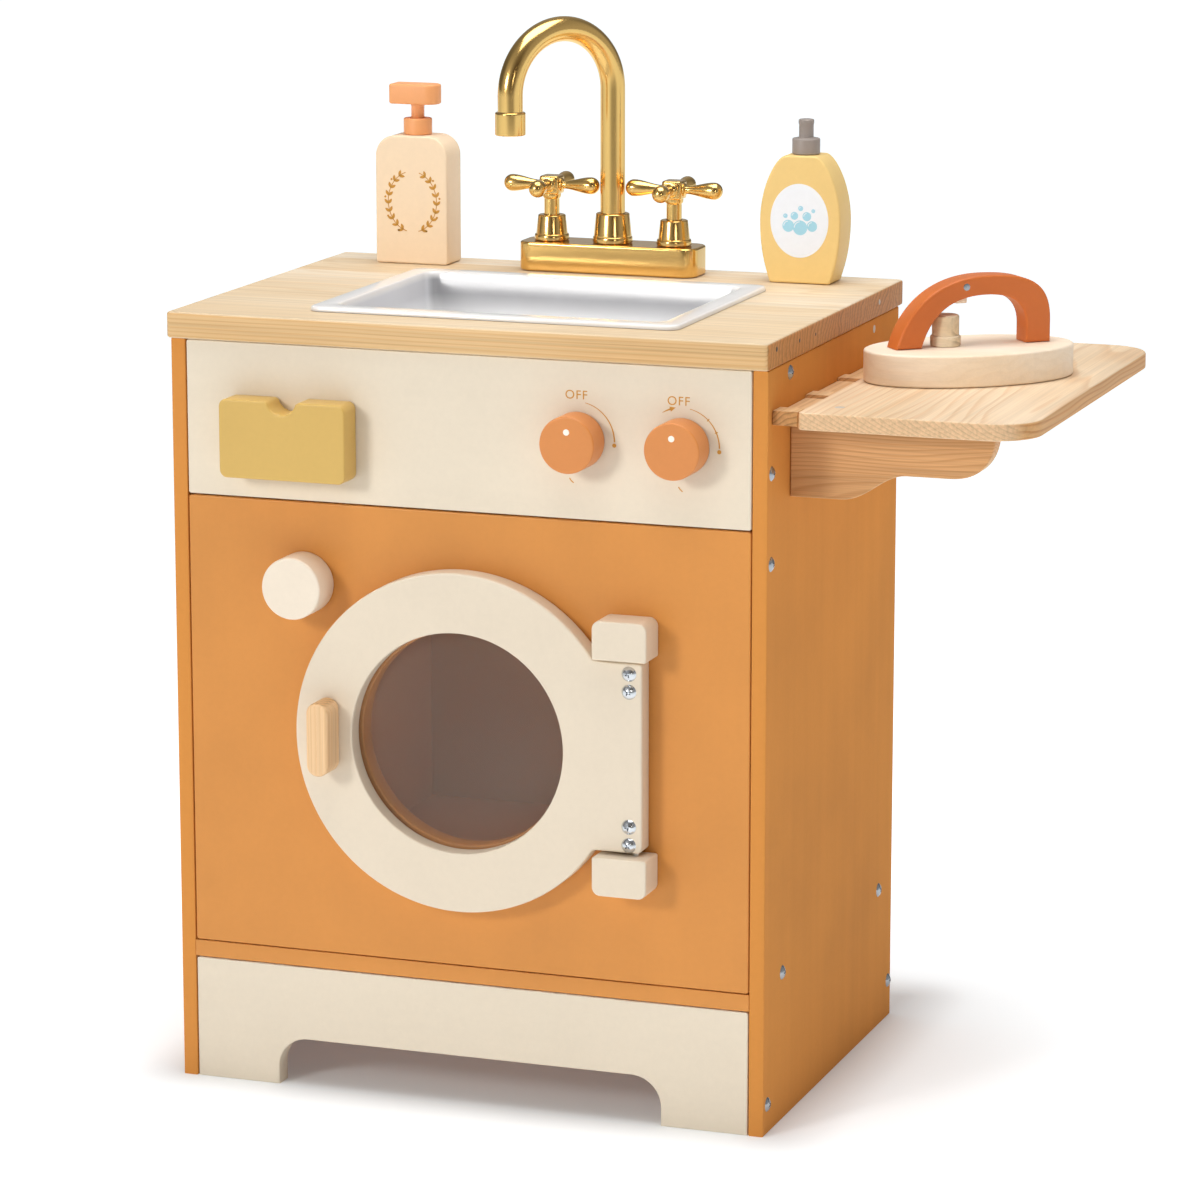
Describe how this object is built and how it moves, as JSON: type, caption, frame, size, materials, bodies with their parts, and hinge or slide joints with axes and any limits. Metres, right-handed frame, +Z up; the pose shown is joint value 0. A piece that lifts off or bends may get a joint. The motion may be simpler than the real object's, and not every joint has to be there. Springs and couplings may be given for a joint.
{
  "type": "toy washing machine",
  "caption": "Wooden play washing machine with round windowed door, drawer, dials, sink, swivel tap, ironing shelf and loose laundry accessories.",
  "frame": {"origin": "middle of the whole part's footprint, on the floor", "axes": "+Z up, -Y towards the front with the door and dials, +X towards the ironing shelf"},
  "size_m": [0.5658, 0.3688, 0.6805],
  "materials": {
    "orange_paint": "satin orange paint on board",
    "cream_paint": "satin cream paint on board",
    "mustard_paint": "satin mustard paint",
    "terracotta_paint": "satin terracotta paint",
    "peach_paint": "satin peach paint",
    "vanilla_paint": "satin vanilla paint",
    "butter_paint": "satin butter yellow paint",
    "taupe_paint": "matt taupe paint",
    "grey_paint": "satin grey paint",
    "pine": "clear satin varnish, visible grain",
    "birch": "smooth sanded, clear matt",
    "sink_white": "glossy white",
    "gold": "polished gold coating",
    "steel": "bright zinc",
    "window": "clear acrylic sheet"
  },
  "bodies": {
    "cabinet": {"side_panel_left": "orange_paint", "side_panel_right": "orange_paint", "plinth": "cream_paint", "bottom_board": "orange_paint", "front_panel": "orange_paint", "control_panel": "cream_paint", "back_panel": "orange_paint", "rear_stretcher": "orange_paint", "worktop": "pine", "top_batten_left": "pine", "top_batten_right": "pine", "base_batten_left": "pine", "base_batten_right": "pine", "compartment_wall_left": "taupe_paint", "compartment_wall_right": "taupe_paint", "compartment_floor": "taupe_paint", "compartment_roof": "taupe_paint", "compartment_back": "taupe_paint", "drawer_guide": "birch", "sink_basin": "sink_white", "tap_base": "gold", "spout_collar": "gold", "bonnet_left": "gold", "bonnet_right": "gold", "tap_bolt_left": "steel", "tap_bolt_right": "steel", "hinge_block_top": "cream_paint", "hinge_block_bottom": "cream_paint", "catch_plate": "steel", "shelf_board": "pine", "shelf_rail": "pine", "bracket_front": "pine", "bracket_rear": "pine"},
    "door": {"door_ring": "cream_paint", "door_window": "window", "door_handle": "pine", "door_pin_top": "steel", "door_pin_bottom": "steel", "door_magnet": "steel"},
    "drawer": {"drawer_front": "mustard_paint", "drawer_tray": "birch"},
    "programme_dial_left": {"dial_left": "terracotta_paint", "dial_left_shaft": "steel"},
    "programme_dial_right": {"dial_right": "terracotta_paint", "dial_right_shaft": "steel"},
    "start_knob": {"start_knob": "cream_paint", "start_knob_shaft": "steel"},
    "tap_spout": {"spout": "gold", "aerator": "gold"},
    "tap_handle_left": {"cross_handle_left": "gold"},
    "tap_handle_right": {"cross_handle_right": "gold"},
    "soap_dispenser": {"soap_bottle": "vanilla_paint", "soap_collar": "peach_paint", "soap_spring": "steel"},
    "soap_pump": {"soap_pump": "peach_paint"},
    "detergent": {"detergent_bottle": "butter_paint", "detergent_cap": "grey_paint"},
    "iron": {"iron_sole": "birch", "iron_handle": "terracotta_paint"},
    "iron_knob": {"iron_knob": "birch"}
  },
  "joints": [
    {"name": "door_swing", "type": "hinge", "parent": "cabinet", "child": "door", "pos_m": [0.0381, -0.1591, 0.243], "axis": [0, 0, 1], "range_deg": [0, 110]},
    {"name": "drawer_slide", "type": "slide", "parent": "cabinet", "child": "drawer", "axis": [0, -1, 0], "range_m": [0, 0.08]},
    {"name": "dial_left_turn", "type": "hinge", "parent": "cabinet", "child": "programme_dial_left", "pos_m": [-0.0049, -0.161, 0.44], "axis": [0, 1, 0], "range_deg": [0, 180]},
    {"name": "dial_right_turn", "type": "hinge", "parent": "cabinet", "child": "programme_dial_right", "pos_m": [0.0636, -0.161, 0.44], "axis": [0, 1, 0], "range_deg": [0, 180]},
    {"name": "start_knob_turn", "type": "hinge", "parent": "cabinet", "child": "start_knob", "pos_m": [-0.1899, -0.161, 0.337], "axis": [0, 1, 0], "continuous": true},
    {"name": "spout_swivel", "type": "hinge", "parent": "cabinet", "child": "tap_spout", "pos_m": [-0.0744, 0.1144, 0.55], "axis": [0, 0, 1], "range_deg": [-56, 124]},
    {"name": "tap_handle_left_turn", "type": "hinge", "parent": "cabinet", "child": "tap_handle_left", "pos_m": [-0.1179, 0.1144, 0.55], "axis": [0, 0, 1], "range_deg": [0, 90]},
    {"name": "tap_handle_right_turn", "type": "hinge", "parent": "cabinet", "child": "tap_handle_right", "pos_m": [-0.0309, 0.1144, 0.55], "axis": [0, 0, -1], "range_deg": [0, 90]},
    {"name": "soap_lift", "type": "slide", "parent": "cabinet", "child": "soap_dispenser", "axis": [0, 0, 1], "range_m": [0, 0.15]},
    {"name": "soap_pump_press", "type": "slide", "parent": "soap_dispenser", "child": "soap_pump", "axis": [0, 0, 1], "range_m": [-0.006, 0], "stiffness_N_per_m": 60, "springref_m": 0.004, "deforming": ["soap_spring"]},
    {"name": "detergent_lift", "type": "slide", "parent": "cabinet", "child": "detergent", "axis": [0, 0, 1], "range_m": [0, 0.15]},
    {"name": "iron_lift", "type": "slide", "parent": "cabinet", "child": "iron", "axis": [0, 0, 1], "range_m": [0, 0.15]},
    {"name": "iron_knob_turn", "type": "hinge", "parent": "iron", "child": "iron_knob", "pos_m": [0.18558, 0.01493, 0.49], "axis": [0, 0, 1], "continuous": true}
  ]
}
